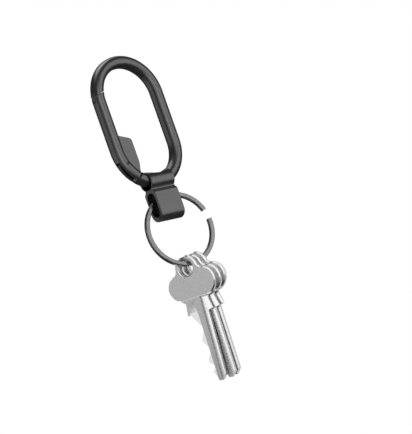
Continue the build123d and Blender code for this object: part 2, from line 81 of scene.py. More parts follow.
camera_data = bpy.data.cameras.new("camera")
camera_data.sensor_width = SENSOR
camera_data.lens = SENSOR * DISTANCE / PICTURE_HEIGHT
camera = bpy.data.objects.new("camera", camera_data)
bpy.context.scene.collection.objects.link(camera)
turn = Matrix((right, up, -forward)).transposed().to_4x4()
camera.matrix_world = Matrix.Translation(AIM - forward * DISTANCE) @ turn
bpy.context.scene.camera = camera
print("camera at", tuple(round(v, 3) for v in camera.location), "lens", round(camera_data.lens, 1))

# %% [markdown]
# ## Helpers for shader nodes
# A material is a small network of nodes. These helpers make a node, join two sockets and build a
# group with named inputs and outputs, so that the later cells read like a list of what the
# finish is made of.

# %% Node helpers
MM_PER_METRE = 1000.0


def add_node(tree, kind, **settings):
    node = tree.nodes.new(kind)
    for name, value in settings.items():
        setattr(node, name, value)
    return node


def join(tree, *pairs):
    for output, target in pairs:
        tree.links.new(output, target)


def new_group(name, inputs, outputs):
    """A shader group with inputs {name: default} and outputs {name: socket type}."""
    tree = bpy.data.node_groups.new(name, "ShaderNodeTree")
    for label, default in inputs.items():
        kind = "NodeSocketVector" if isinstance(default, tuple) else "NodeSocketFloat"
        socket = tree.interface.new_socket(name=label, in_out="INPUT", socket_type=kind)
        socket.default_value = default
    for label, kind in outputs.items():
        tree.interface.new_socket(name=label, in_out="OUTPUT", socket_type=kind)
    print("group", name, "takes", sorted(inputs), "and gives", sorted(outputs))
    return tree, tree.nodes.new("NodeGroupInput"), tree.nodes.new("NodeGroupOutput")


def place_group(tree, group, **values):
    """A group in a material. An input's name is written with _ for each space."""
    node = tree.nodes.new("ShaderNodeGroup")
    node.node_tree = group
    for label, value in values.items():
        node.inputs[label.replace("_", " ")].default_value = value
    return node


# %% [markdown]
# ## Blasted grain
# Steel that was shot-blasted before its dark coating has a very fine, even grain, and large soft
# patches where the coating came out a little thicker. Two noises at two scales give both: the fine
# one goes to the bump, the broad one to the colour and the gloss.

# %% Group: blasted grain
grain_group, g_in, g_out = new_group(
    "blasted grain", {"Grain size mm": 0.12, "Patch size mm": 9.0},
    {"Height": "NodeSocketFloat", "Patches": "NodeSocketFloat", "Specks": "NodeSocketFloat"})
tree = grain_group
place = add_node(tree, "ShaderNodeTexCoord")
fine_scale = add_node(tree, "ShaderNodeMath", operation="DIVIDE")
fine_scale.inputs[0].default_value = MM_PER_METRE
patch_scale = add_node(tree, "ShaderNodeMath", operation="DIVIDE")
patch_scale.inputs[0].default_value = MM_PER_METRE
fine = add_node(tree, "ShaderNodeTexNoise")
fine.inputs["Detail"].default_value = 3.0
fine.inputs["Roughness"].default_value = 0.6
broad = add_node(tree, "ShaderNodeTexNoise")
broad.inputs["Detail"].default_value = 2.0
specks = add_node(tree, "ShaderNodeMapRange")
specks.inputs["From Min"].default_value = 0.62
specks.inputs["From Max"].default_value = 0.72
join(tree,
     (g_in.outputs["Grain size mm"], fine_scale.inputs[1]),
     (g_in.outputs["Patch size mm"], patch_scale.inputs[1]),
     (place.outputs["Object"], fine.inputs["Vector"]), (fine_scale.outputs[0], fine.inputs["Scale"]),
     (place.outputs["Object"], broad.inputs["Vector"]), (patch_scale.outputs[0], broad.inputs["Scale"]),
     (fine.outputs["Fac"], specks.inputs["Value"]),
     (fine.outputs["Fac"], g_out.inputs["Height"]), (broad.outputs["Fac"], g_out.inputs["Patches"]),
     (specks.outputs["Result"], g_out.inputs["Specks"]))

# %% [markdown]
# ## Drawn lines
# A polished or ground face keeps fine parallel lines from the belt. A noise that is stretched a
# hundred times along one direction looks just like them. The group is told which way the lines
# run, as a rotation, how far apart they are, and which way the ground faces look, because the
# belt never touches the walls of a piece.

# %% Group: drawn lines
lines_group, l_in, l_out = new_group(
    "drawn lines", {"Direction": (0.0, 0.0, 0.0), "Ground face": (0.0, 1.0, 0.0), "Spacing mm": 0.08},
    {"Height": "NodeSocketFloat", "Streaks": "NodeSocketFloat"})
tree = lines_group
place = add_node(tree, "ShaderNodeTexCoord")
turned = add_node(tree, "ShaderNodeMapping", vector_type="TEXTURE")
stretched = add_node(tree, "ShaderNodeVectorMath", operation="MULTIPLY")
stretched.inputs[1].default_value = (1.0, 1.0, 0.012)
line_scale = add_node(tree, "ShaderNodeMath", operation="DIVIDE")
line_scale.inputs[0].default_value = MM_PER_METRE
line_noise = add_node(tree, "ShaderNodeTexNoise")
line_noise.inputs["Detail"].default_value = 4.0
streak_scale = add_node(tree, "ShaderNodeMath", operation="MULTIPLY")
streak_scale.inputs[1].default_value = 0.09
streak_noise = add_node(tree, "ShaderNodeTexNoise")
streak_noise.inputs["Detail"].default_value = 1.0
faces = add_node(tree, "ShaderNodeVectorMath", operation="DOT_PRODUCT")
either_side = add_node(tree, "ShaderNodeMath", operation="ABSOLUTE")
ground = add_node(tree, "ShaderNodeMapRange")
ground.inputs["From Min"].default_value = 0.93
ground.inputs["From Max"].default_value = 0.97
relief = add_node(tree, "ShaderNodeMath", operation="MULTIPLY")
join(tree,
     (l_in.outputs["Direction"], turned.inputs["Rotation"]),
     (place.outputs["Object"], turned.inputs["Vector"]),
     (turned.outputs["Vector"], stretched.inputs[0]), (l_in.outputs["Spacing mm"], line_scale.inputs[1]),
     (stretched.outputs["Vector"], line_noise.inputs["Vector"]),
     (line_scale.outputs[0], line_noise.inputs["Scale"]),
     (line_scale.outputs[0], streak_scale.inputs[0]),
     (stretched.outputs["Vector"], streak_noise.inputs["Vector"]),
     (streak_scale.outputs[0], streak_noise.inputs["Scale"]),
     (place.outputs["Normal"], faces.inputs[0]), (l_in.outputs["Ground face"], faces.inputs[1]),
     (faces.outputs["Value"], either_side.inputs[0]), (either_side.outputs[0], ground.inputs["Value"]),
     (line_noise.outputs["Fac"], relief.inputs[0]), (ground.outputs["Result"], relief.inputs[1]),
     (relief.outputs[0], l_out.inputs["Height"]),
     (streak_noise.outputs["Fac"], l_out.inputs["Streaks"]))

# %% [markdown]
# ## Hairline scratches
# A thing that lives in a pocket with keys collects short, thin scratches in all directions. Each
# layer is a noise drawn out into threads, of which only the brightest few are kept, and two
# layers cross each other. Even at a share of nothing a few threads are left, as on a thing that
# is almost new.

# %% Group: hairline scratches
BRIGHTEST = 0.76              # a thread brighter than this is always kept
THREAD = 45.0                 # how many times longer than wide a scratch is
scratch_group, s_in, s_out = new_group(
    "hairline scratches", {"Length mm": 5.0, "Share": 0.06}, {"Mask": "NodeSocketFloat"})
tree = scratch_group
place = add_node(tree, "ShaderNodeTexCoord")
threshold = add_node(tree, "ShaderNodeMath", operation="SUBTRACT")
threshold.inputs[0].default_value = BRIGHTEST
scratch_scale = add_node(tree, "ShaderNodeMath", operation="DIVIDE")
scratch_scale.inputs[0].default_value = MM_PER_METRE
join(tree,
     (s_in.outputs["Share"], threshold.inputs[1]),
     (s_in.outputs["Length mm"], scratch_scale.inputs[1]))
layers = []
for angles in ((0.5, 0.9, 0.2), (2.1, 0.4, 1.3)):
    turned = add_node(tree, "ShaderNodeMapping")
    turned.inputs["Rotation"].default_value = angles
    turned.inputs["Scale"].default_value = (1.0, THREAD, THREAD)
    threads = add_node(tree, "ShaderNodeTexNoise")
    threads.inputs["Detail"].default_value = 0.0
    kept = add_node(tree, "ShaderNodeMath", operation="GREATER_THAN")
    join(tree,
         (place.outputs["Object"], turned.inputs["Vector"]),
         (turned.outputs["Vector"], threads.inputs["Vector"]),
         (scratch_scale.outputs[0], threads.inputs["Scale"]),
         (threads.outputs["Fac"], kept.inputs[0]), (threshold.outputs[0], kept.inputs[1]))
    layers.append(kept)
both = add_node(tree, "ShaderNodeMath", operation="MAXIMUM")
join(tree, (layers[0].outputs[0], both.inputs[0]), (layers[1].outputs[0], both.inputs[1]),
     (both.outputs[0], s_out.inputs["Mask"]))

# %% [markdown]
# ## A metal finish
# Every metal here is a Principled shader with Metallic at one. What tells them apart is the
# colour, how much of the light they scatter, and what is left of the tool that made them. The
# function builds one from three colours (body, patches and scratches) and the groups above.

# %% Metal finish
RELIEF = 0.02 * MM             # how deep grain and lines are at full strength


def metal(name, body, patch, scratch, rough, rough_patch, grain, grain_bump, scratches=None,
          lines=None, line_bump=0.0):
    """A metal finish: three colours, two roughnesses, and the values for the groups."""
    material = bpy.data.materials.new(name)
    material.use_nodes = True
    tree = material.node_tree
    shader = tree.nodes["Principled BSDF"]
    shader.inputs["Metallic"].default_value = 1.0
    grain_node = place_group(tree, grain_group, **grain)
    colour = add_node(tree, "ShaderNodeMix", data_type="RGBA")
    colour.inputs["A"].default_value = (*body, 1.0)
    colour.inputs["B"].default_value = (*patch, 1.0)
    gloss = add_node(tree, "ShaderNodeMapRange")
    gloss.inputs["From Min"].default_value = 0.3
    gloss.inputs["From Max"].default_value = 0.7
    gloss.inputs["To Min"].default_value = rough
    gloss.inputs["To Max"].default_value = rough_patch
    variation = grain_node.outputs["Patches"]
    bump = add_node(tree, "ShaderNodeBump")
    bump.inputs["Strength"].default_value = grain_bump
    bump.inputs["Distance"].default_value = RELIEF
    join(tree, (grain_node.outputs["Height"], bump.inputs["Height"]))
    last_bump = bump
    if lines is not None:
        lines_node = place_group(tree, lines_group, **lines)
        variation = lines_node.outputs["Streaks"]
        line_relief = add_node(tree, "ShaderNodeBump")
        line_relief.inputs["Strength"].default_value = line_bump
        line_relief.inputs["Distance"].default_value = RELIEF
        join(tree, (lines_node.outputs["Height"], line_relief.inputs["Height"]),
             (bump.outputs["Normal"], line_relief.inputs["Normal"]))
        last_bump = line_relief
    marks = place_group(tree, scratch_group, **(scratches or {}))
    marked = add_node(tree, "ShaderNodeMix", data_type="RGBA")
    marked.inputs["B"].default_value = (*scratch, 1.0)
    join(tree,
         (variation, colour.inputs["Factor"]), (variation, gloss.inputs["Value"]),
         (colour.outputs["Result"], marked.inputs["A"]), (marks.outputs["Mask"], marked.inputs["Factor"]),
         (marked.outputs["Result"], shader.inputs["Base Color"]),
         (gloss.outputs["Result"], shader.inputs["Roughness"]),
         (last_bump.outputs["Normal"], shader.inputs["Normal"]))
    print("finish", name, "roughness", rough, "to", rough_patch)
    return material


def grey(level):
    return (level, level, level)


# %% [markdown]
# ## The finishes
# The clip and its sleeve are blasted steel under a dark grey coating. The ring is ground spring
# steel, lighter and shinier. The keys are nickel-plated brass with belt-ground faces: the
# plating makes their bevelled rims flash white. The guide inside the sleeve is a black polymer.

# %% Finishes
FRONT_KEY_LEAN = 4.6            # degrees
KEY_FACE = tuple(joints["key_front_swing"]["axis"])

gunmetal = metal("dark coated steel", grey(0.26), grey(0.29), grey(0.34), 0.33, 0.38,
                 grain={"Grain_size_mm": 0.16, "Patch_size_mm": 14.0}, grain_bump=0.12,
                 scratches={"Length_mm": 4.0, "Share": 0.0})
ring_steel = metal("ring steel", grey(0.44), grey(0.50), grey(0.6), 0.16, 0.21,
                   grain={"Grain_size_mm": 0.10, "Patch_size_mm": 6.0}, grain_bump=0.05,
                   scratches={"Length_mm": 3.0, "Share": 0.02})
pin_steel = metal("pin steel", grey(0.50), grey(0.58), grey(0.70), 0.24, 0.32,
                  grain={"Grain_size_mm": 0.08, "Patch_size_mm": 2.0}, grain_bump=0.2)
spring_steel = metal("spring steel", grey(0.38), grey(0.44), grey(0.6), 0.24, 0.32,
                     grain={"Grain_size_mm": 0.06, "Patch_size_mm": 1.5}, grain_bump=0.15)
key_nickel = metal("key nickel", grey(0.68), grey(0.75), grey(0.85), 0.22, 0.27,
                   grain={"Grain_size_mm": 0.10, "Patch_size_mm": 7.0}, grain_bump=0.03,
                   lines={"Direction": (0.0, radians(FRONT_KEY_LEAN), 0.0), "Ground_face": KEY_FACE,
                          "Spacing_mm": 0.10}, line_bump=0.06,
                   scratches={"Length_mm": 3.5, "Share": 0.03})

# %% [markdown]
# ## The guide's polymer
# The polymer is the one finish that is not a metal. It is a dull black with a faint spark
# texture from its mould, a little lighter in large soft patches.

# %% Guide polymer
guide_polymer = bpy.data.materials.new("guide polymer")
guide_polymer.use_nodes = True
tree = guide_polymer.node_tree
shader = tree.nodes["Principled BSDF"]
mould = place_group(tree, grain_group, Grain_size_mm=0.20, Patch_size_mm=4.0)
shade = add_node(tree, "ShaderNodeMix", data_type="RGBA")
shade.inputs["A"].default_value = (0.012, 0.012, 0.013, 1.0)
shade.inputs["B"].default_value = (0.030, 0.030, 0.032, 1.0)
dull = add_node(tree, "ShaderNodeMapRange")
dull.inputs["To Min"].default_value = 0.42
dull.inputs["To Max"].default_value = 0.62
relief = add_node(tree, "ShaderNodeBump")
relief.inputs["Strength"].default_value = 0.4
relief.inputs["Distance"].default_value = 0.03 * MM
join(tree,
     (mould.outputs["Patches"], shade.inputs["Factor"]), (mould.outputs["Patches"], dull.inputs["Value"]),
     (mould.outputs["Height"], relief.inputs["Height"]),
     (shade.outputs["Result"], shader.inputs["Base Color"]),
     (dull.outputs["Result"], shader.inputs["Roughness"]),
     (relief.outputs["Normal"], shader.inputs["Normal"]))
print("finish", guide_polymer.name)

# %% [markdown]
# ## Dressing the CAD nodes
# Pieces whose CAD shape is already right keep their mesh and only get their finish. The keys and
# the pin get theirs too, though newly modelled pieces stand in for them further down.

# %% Finishes on the CAD nodes
FINISH_OF = {
    "carabiner_frame": gunmetal, "gate": gunmetal, "ring_sleeve": gunmetal,
    "key_ring": ring_steel, "gate_hinge_pin": pin_steel, "detent_ball": pin_steel,
    "gate_spring": spring_steel, "detent_spring": spring_steel, "ring_guide": guide_polymer,
    "key_front": key_nickel, "key_middle": key_nickel, "key_back": key_nickel,
}
for name, material in FINISH_OF.items():
    mesh = frame["nodes"][name].data
    mesh.materials.clear()
    mesh.materials.append(material)
    print(name, "is", material.name)

# %% [markdown]
# ## Working by hand
# The keys and the pin need more shape than the CAD gives them, so they are modelled with the
# tools of edit mode. A tool acts on all that is selected. These helpers choose a piece, open it
# with nothing selected, and pick vertices or edges by their place.

# %% Selecting
def select_only(piece):
    if bpy.context.object and bpy.context.object.mode == "EDIT":
        bpy.ops.object.mode_set(mode="OBJECT")
    bpy.ops.object.select_all(action="DESELECT")
    piece.select_set(True)
    bpy.context.view_layer.objects.active = piece


def edit(piece):
    select_only(piece)
    bpy.ops.object.mode_set(mode="EDIT")
    bpy.ops.mesh.select_all(action="DESELECT")


def done():
    bpy.ops.object.mode_set(mode="OBJECT")


def pick_edges(piece, test):
    """Select the edges that pass a test of their place."""
    bpy.ops.mesh.select_mode(type="EDGE")
    net = bmesh.from_edit_mesh(piece.data)
    count = 0
    for edge in net.edges:
        chosen = bool(test(edge))
        edge.select_set(chosen)
        count += chosen
    net.select_flush_mode()
    bmesh.update_edit_mesh(piece.data)
    return count


print("selected now:", len(bpy.context.selected_objects), "objects")

# %% [markdown]
# ## Drawing with a pen
# Flat outlines are drawn as by hand: one vertex is pushed along a path with the extrude tool,
# arcs are spun round their centres, and the closed line is filled. Everything is drawn in
# millimetres, where the numbers are easy to read, and shrunk to metres at the end.

# %% Pen
ARC_STEP = 4.0                # degrees between the points of an arc
SAME_PLACE = 1e-4             # vertices nearer than this are one


def one_vertex(name, place):
    """A piece of a single vertex, open in edit mode: a plane, merged and moved to its place."""
    bpy.ops.object.select_all(action="DESELECT")
    bpy.ops.mesh.primitive_plane_add(size=1.0, location=(0, 0, 0))
    piece = bpy.context.object
    piece.name = name
    bpy.ops.object.mode_set(mode="EDIT")
    bpy.ops.mesh.select_mode(type="VERT")
    bpy.ops.mesh.select_all(action="SELECT")
    bpy.ops.mesh.merge(type="CENTER")
    bpy.ops.transform.translate(value=place)
    return piece


def pen(name, start, moves, plane="XZ"):
    """A closed outline: a move is (x, z) for a line, or (x, z, degrees) for an arc round x, z."""
    def lift(u, v):
        return Vector((u, 0, v)) if plane == "XZ" else Vector((u, v, 0))

    here = lift(*start)
    piece = one_vertex(name, here)
    for move in moves:
        if len(move) == 2:
            step = lift(*move) - here
            bpy.ops.mesh.extrude_vertices_move(TRANSFORM_OT_translate={"value": step})
            here = here + step
        else:
            centre = lift(move[0], move[1])
            turn_angle = radians(move[2])
            steps = max(2, round(abs(move[2]) / ARC_STEP))
            bpy.ops.mesh.spin(steps=steps, angle=turn_angle, center=centre, axis=(0, 1, 0))
            here = centre + Matrix.Rotation(-turn_angle, 3, "Y") @ (here - centre)
    bpy.ops.mesh.select_all(action="SELECT")
    bpy.ops.mesh.remove_doubles(threshold=SAME_PLACE)
    bpy.ops.mesh.select_all(action="SELECT")
    bpy.ops.mesh.edge_face_add()
    return piece


print("a full circle has", round(360 / ARC_STEP), "points")

# %% [markdown]
# ## From outline to solid
# A filled outline is extruded across its plane. Spin, mirror and extrude can leave a solid inside
# out, so its faces are turned outward each time: the sign of its volume tells whether they are.

# %% Thickness and sides
def face_outward(piece):
    bpy.ops.mesh.select_all(action="SELECT")
    bpy.ops.mesh.normals_make_consistent(inside=False)
    if bmesh.from_edit_mesh(piece.data).calc_volume(signed=True) < 0:
        bpy.ops.mesh.flip_normals()


def flat_axis(piece):
    """The axis that a flat piece has no size along."""
    net = bmesh.from_edit_mesh(piece.data)
    spans = [max(v.co[i] for v in net.verts) - min(v.co[i] for v in net.verts) for i in range(3)]
    axis = Vector((0, 0, 0))
    axis[spans.index(min(spans))] = 1.0
    return axis


def thicken(piece, low, high):
    """Give a filled outline its thickness, from low to high across its plane."""
    normal = flat_axis(piece)
    bpy.ops.mesh.select_all(action="SELECT")
    bpy.ops.transform.translate(value=normal * low)
    bpy.ops.mesh.extrude_region_move(TRANSFORM_OT_translate={"value": normal * (high - low)})
    face_outward(piece)
    done()
    print(piece.name, "is", round(high - low, 2), "mm thick")


def mirrored(piece):
    """A copy on the other side of the XZ plane."""
    select_only(piece)
    bpy.ops.object.duplicate()
    twin = bpy.context.object
    edit(twin)
    bpy.ops.mesh.select_all(action="SELECT")
    bpy.ops.transform.resize(value=(1, -1, 1), center_override=(0, 0, 0))
    face_outward(twin)
    done()
    return twin


# %% [markdown]
# ## Cutting and joining
# Milling is taking one solid away from another, which the boolean modifier does. Its Manifold
# solver needs closed solids, and keeps the right side of the cut every time. The volume is
# measured before and after, because a boolean that went wrong is easy to overlook.

# %% Booleans
LEAST_LEFT = 0.8              # the share of a piece that any cut here leaves
LEAST_CUT = 0.05              # mm3 that any cut here takes away


def volume(mesh):
    net = bmesh.new()
    net.from_mesh(mesh)
    amount = net.calc_volume()
    net.free()
    return amount


def combine(piece, tool, operation):
    """Add a tool to a piece, or cut it away, and throw the tool out."""
    before = volume(piece.data)
    select_only(piece)
    modifier = piece.modifiers.new(operation, "BOOLEAN")
    modifier.object = tool
    modifier.operation = operation
    modifier.solver = "MANIFOLD"
    bpy.ops.object.modifier_apply(modifier=modifier.name)
    after = volume(piece.data)
    if after < LEAST_LEFT * before or (operation == "DIFFERENCE" and after > before - LEAST_CUT):
        raise RuntimeError(f"{operation} with {tool.name} took the volume from {before:.1f} to {after:.1f}")
    print(operation, tool.name, "leaves", round(after, 1), "mm3")
    bpy.data.objects.remove(tool)


# %% [markdown]
# ## One key
# A house key is stamped from sheet metal as one flat blank: a bow of three lobes with a hole, two
# stops and a long blade. The stamped rim is bevelled, and mills cut the grooves along the blade
# and the notches in its edge. The model has the same features. First the bow is drawn: three
# lobes, joined by two rounded valleys and a straight base.

# %% The lobes of the bow
KEY_HALF = 1.10               # half the key's thickness
KEY_RIM = 0.55
BOW_BASE = -13.75
TOP_LOBE = (0.0, 0.0, 5.65)                       # centre x, centre z, radius
RIGHT_LOBE = (6.35, BOW_BASE + 6.40, 6.40)
LEFT_LOBE = (-5.30, BOW_BASE + 6.20, 6.20)


def valley_centre(lobe_a, lobe_b, radius, side):
    """Centre of the rounding that touches two lobes from outside, on one side of their line."""
    a, b = Vector(lobe_a[:2]), Vector(lobe_b[:2])
    reach_a, reach_b = lobe_a[2] + radius, lobe_b[2] + radius
    apart = (b - a).length
    along = (apart ** 2 + reach_a ** 2 - reach_b ** 2) / (2 * apart)
    off = sqrt(reach_a ** 2 - along ** 2)
    direction = (b - a) / apart
    return a + direction * along + Vector((-direction.y, direction.x)) * off * side


def bearing(centre, point):
    return degrees(atan2(point[1] - centre[1], point[0] - centre[0]))


def turn_to(start, end, clockwise):
    """The angle from one bearing to another, the way round that is asked for."""
    return -((start - end) % 360) if clockwise else (end - start) % 360


right_valley = valley_centre(TOP_LOBE, RIGHT_LOBE, 3.0, 1)
left_valley = valley_centre(TOP_LOBE, LEFT_LOBE, 2.0, -1)
print("valleys at", [round(v, 2) for v in (*right_valley, *left_valley)])

# %% [markdown]
# The pen goes round the lobes against the clock and through the valleys with it. The outline
# gets its thickness, and every edge of its two faces is bevelled at once.

# %% The bow
top_to_right, right_to_top = bearing(TOP_LOBE, right_valley), bearing(RIGHT_LOBE, right_valley)
top_to_left, left_to_top = bearing(TOP_LOBE, left_valley), bearing(LEFT_LOBE, left_valley)
moves = [
    (RIGHT_LOBE[0], RIGHT_LOBE[1], turn_to(-90, right_to_top, False)),
    (right_valley.x, right_valley.y, turn_to(right_to_top + 180, top_to_right + 180, True)),
    (TOP_LOBE[0], TOP_LOBE[1], turn_to(top_to_right, top_to_left, False)),
    (left_valley.x, left_valley.y, turn_to(top_to_left + 180, left_to_top + 180, True)),
    (LEFT_LOBE[0], LEFT_LOBE[1], turn_to(left_to_top, -90, False)),
]


def drop(edge):
    """How far an edge runs across the thickness."""
    return abs(edge.verts[0].co.y - edge.verts[1].co.y)


key = pen("key", (RIGHT_LOBE[0], BOW_BASE), moves)
thicken(key, -KEY_HALF, KEY_HALF)
edit(key)
rims = pick_edges(key, lambda edge: drop(edge) < 0.01)
bpy.ops.mesh.bevel(offset=KEY_RIM, segments=1, affect="EDGES")
done()
print("bow has", rims, "rim edges")

# %% [markdown]
# ## Shank and blade
# The shank leaves the bow a little thinner, widens into two stops, and runs down as the blade.
# The notches of its cut edge have flats at their bottoms, where the lock's pins rest. It is drawn
# with the same pen, and stays a piece of its own until it is milled.

# %% The shank
SHANK_HALF = 0.98
BLADE_LEFT, BLADE_RIGHT = -3.30, 5.35
KEY_TIP = -50.80
STOP = -20.10
NOTCHES = {-27.20: 3.50, -31.95: 1.80, -36.70: 4.10, -41.30: 2.20, -44.50: 4.10}   # place: depth
NOTCH_FLAT = 0.65
outline = [(-6.50, -13.45), (-4.60, -15.00), (-5.15, STOP),
           (BLADE_LEFT, STOP - 0.45), (BLADE_LEFT, STOP - 0.90)]
for height, depth in NOTCHES.items():
    outline += [(BLADE_LEFT + depth, height + NOTCH_FLAT), (BLADE_LEFT + depth, height - NOTCH_FLAT)]
outline += [(-0.50, -46.10), (1.24, -50.20), (1.90, KEY_TIP), (3.20, KEY_TIP),
            (BLADE_RIGHT, KEY_TIP + 2.30), (BLADE_RIGHT, STOP), (7.60, STOP + 0.45),
            (6.60, -15.00), (6.60, -13.20)]


def on_cut_edge(edge):
    corner = edge.verts[0].co
    return drop(edge) > 1.0 and STOP - 1.5 > corner.z > KEY_TIP - 1 and corner.x < 4.0


shank = pen("shank", (-5.30, -13.20), outline)
thicken(shank, -SHANK_HALF, SHANK_HALF)
edit(shank)
corners = pick_edges(shank, on_cut_edge)
bpy.ops.mesh.bevel(offset=0.45, segments=3, affect="EDGES")
done()
print("rounded", corners, "corners of the cut edge")

# %% [markdown]
# ## The narrow millings
# Both faces of the blade are milled alike. A groove runs down from the bow. Right of it the blade
# slopes away to its plain edge, and a fine line runs down the stop. Each cutter is drawn as the
# cross-section that it leaves, and reaches far out of the metal on its other sides.

# %% Cutters for groove, land and line
FAR = 12.0
PAST_TIP = KEY_TIP - 1
GROOVE_FLOOR = -0.40
groove = pen("groove", (2.90, -FAR), [(2.94, GROOVE_FLOOR), (4.00, GROOVE_FLOOR - 0.53), (4.02, -FAR)], "XY")
thicken(groove, PAST_TIP, -13.10)

LAND_SLOPE = tan(radians(11.0))
LAND_LEFT = 4.05
land = pen("land", (LAND_LEFT, -FAR), [
    (LAND_LEFT, -SHANK_HALF), (FAR, -SHANK_HALF + (FAR - LAND_LEFT) * LAND_SLOPE), (FAR, -FAR)], "XY")
thicken(land, PAST_TIP, -14.00)

line = pen("line", (4.72, -FAR), [(4.76, -0.70), (4.84, -0.70), (4.92, -FAR)], "XY")
thicken(line, STOP - 0.8, -14.30)

# %% [markdown]
# ## The wide recess
# Left of the groove a wide recess thins the blade where the notches are. It starts in a long
# curve, because a large milling wheel dips into the metal slowly, and its floor is tilted, so
# that it is deepest beside the groove. The cutter is the outline of the milled field. The bisect
# tool trims it with six planes that touch the wheel.

# %% Cutter for the recess
RECESS_TOP = -14.75
RECESS_FLOOR = -0.54
RECESS_TILT = Matrix.Rotation(radians(8.0), 3, "Z")
WHEEL_RADIUS = 30.0
WHEEL_PLANES = 6
run_out = acos(1 - 0.56 / WHEEL_RADIUS)
wheel_height = RECESS_TOP + 0.6 - WHEEL_RADIUS * sin(run_out)
span = BLADE_RIGHT - BLADE_LEFT
recess = pen("recess", (-4.05, RECESS_TOP - 0.3), [
    (BLADE_LEFT + 0.22 * span, RECESS_TOP), (BLADE_LEFT + 0.27 * span, RECESS_TOP - 0.7),
    (BLADE_LEFT + 0.32 * span, RECESS_TOP - 2.0), (BLADE_LEFT + 0.39 * span, STOP),
    (BLADE_LEFT + 0.55 * span, PAST_TIP), (-9.0, PAST_TIP), (-9.0, STOP - 0.9), (-4.05, STOP - 0.9)])
thicken(recess, -3.0, 0.5)
edit(recess)
for step in range(WHEEL_PLANES):
    angle = run_out * step / (WHEEL_PLANES - 1)
    touch = (-1.0, RECESS_FLOOR - WHEEL_RADIUS * (1 - cos(angle)), wheel_height + WHEEL_RADIUS * sin(angle))
    bpy.ops.mesh.select_all(action="SELECT")
    bpy.ops.mesh.bisect(plane_co=touch, plane_no=RECESS_TILT @ Vector((0, cos(angle), sin(angle))),
                        use_fill=True, clear_outer=True)
face_outward(recess)
done()
print("the wheel runs out over", round(degrees(run_out), 1), "degrees")

# %% [markdown]
# ## Milling both faces
# Each cutter is made once and mirrored, so that both faces of the blade get the same millings.

# %% Milling
for cutter in (groove, land, line, recess):
    twin = mirrored(cutter)
    combine(shank, cutter, "DIFFERENCE")
    combine(shank, twin, "DIFFERENCE")
print("shank has", len(shank.data.polygons), "faces after milling")

# %% [markdown]
# ## One key from two pieces
# Bow and shank are one sheet of metal, so a boolean joins them. On a real key the hole is punched
# and its mouths are rounded, so that the key slides on the ring. Here a cylinder cuts it, and the
# two sharp rims that it leaves are bevelled.

# %% The hole
combine(key, shank, "UNION")
HOLE_RADIUS = 3.60
bpy.ops.object.select_all(action="DESELECT")
bpy.ops.mesh.primitive_cylinder_add(vertices=90, radius=HOLE_RADIUS, depth=8.0, rotation=(pi / 2, 0, 0))
punch = bpy.context.object
bpy.ops.object.transform_apply(location=True, rotation=True, scale=True)
combine(key, punch, "DIFFERENCE")


def on_hole_rim(edge):
    """Whether an edge is a short piece of one of the two circles round the hole."""
    ends = [v.co for v in edge.verts]
    return drop(edge) <= 0.01 and (ends[0] - ends[1]).length < 0.3 and all(
        abs(abs(end.y) - KEY_HALF) < 0.01
        and abs(Vector((end.x, end.z)).length - HOLE_RADIUS) < 0.05 for end in ends)


edit(key)
mouths = pick_edges(key, on_hole_rim)
bpy.ops.mesh.bevel(offset=0.42, segments=2, profile=0.6, affect="EDGES")
done()
print("bevelled", mouths, "edges round the hole")

# %% [markdown]
# ## Breaking the edges
# Tumbling a stamped key before it is plated wears its sharp edges to narrow bevels, and they
# draw the bright lines round it. First the needless points that the booleans left on flat faces
# are dissolved, and then every edge that turns by more than 32 degrees is bevelled.

# %% Key edges
FLAT = radians(0.4)
SHARP = radians(32)
WEAR = 0.09
select_only(key)
for kind, settings in (("DECIMATE", {"decimate_type": "DISSOLVE", "angle_limit": FLAT}),
                       ("BEVEL", {"limit_method": "ANGLE", "angle_limit": SHARP, "width": WEAR,
                                  "segments": 1, "use_clamp_overlap": True})):
    modifier = key.modifiers.new(kind, kind)
    for setting, value in settings.items():
        setattr(modifier, setting, value)
    bpy.ops.object.modifier_apply(modifier=modifier.name)
edit(key)
bpy.ops.mesh.select_all(action="SELECT")
bpy.ops.mesh.remove_doubles(threshold=0.003)
face_outward(key)
bpy.ops.transform.resize(value=(MM, MM, MM), center_override=(0, 0, 0))
done()
bpy.ops.object.shade_smooth_by_angle(angle=radians(12))
key.data.materials.clear()
key.data.materials.append(key_nickel)
print("finished key:", len(key.data.polygons), "faces")

# %% [markdown]
# ## Three keys on the ring
# The three keys are alike but hang a little differently: each one touches the ring at its own
# place and leans its own way. The joints say where each hangs and which way it faces.

# %% Three keys
HANGING = {                   # CAD node: joint, body, shift and hang in mm, lean in degrees
    "key_front": ("key_front_swing", "front_key", -0.35, 1.85, FRONT_KEY_LEAN),
    "key_middle": ("key_middle_swing", "middle_key", -0.75, 1.62, 1.7),
    "key_back": ("key_back_swing", "back_key", -0.85, 1.32, 2.1),
}
for node, (joint, body, shift, hang, lean) in HANGING.items():
    select_only(key)
    bpy.ops.object.duplicate()
    copy = bpy.context.object
    copy.name = node.replace("key_", "") + "_house_key"
    copy.data.name = copy.name
    normal = joints[joint]["axis"]
    facing = atan2(-normal[0], normal[1])
    turned = Matrix.Rotation(facing, 4, "Z") @ Matrix.Rotation(radians(lean), 4, "Y")
    copy.matrix_world = (Matrix.Translation(Vector(joints[joint]["pos_m"])) @ turned
                         @ Matrix.Translation(Vector((shift, 0, -hang)) * MM))
    bpy.ops.object.transform_apply(location=True, rotation=True, scale=True)
    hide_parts(node)
    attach(copy, body)
    low = [min(v.co[i] for v in copy.data.vertices) for i in range(3)]
    high = [max(v.co[i] for v in copy.data.vertices) for i in range(3)]
    cad_low, cad_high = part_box(node)
    print(copy.name, "against its CAD node, mm:",
          [round((a - b) / MM, 2) for a, b in zip(low, cad_low)],
          [round((a - b) / MM, 2) for a, b in zip(high, cad_high)])
bpy.data.objects.remove(key)

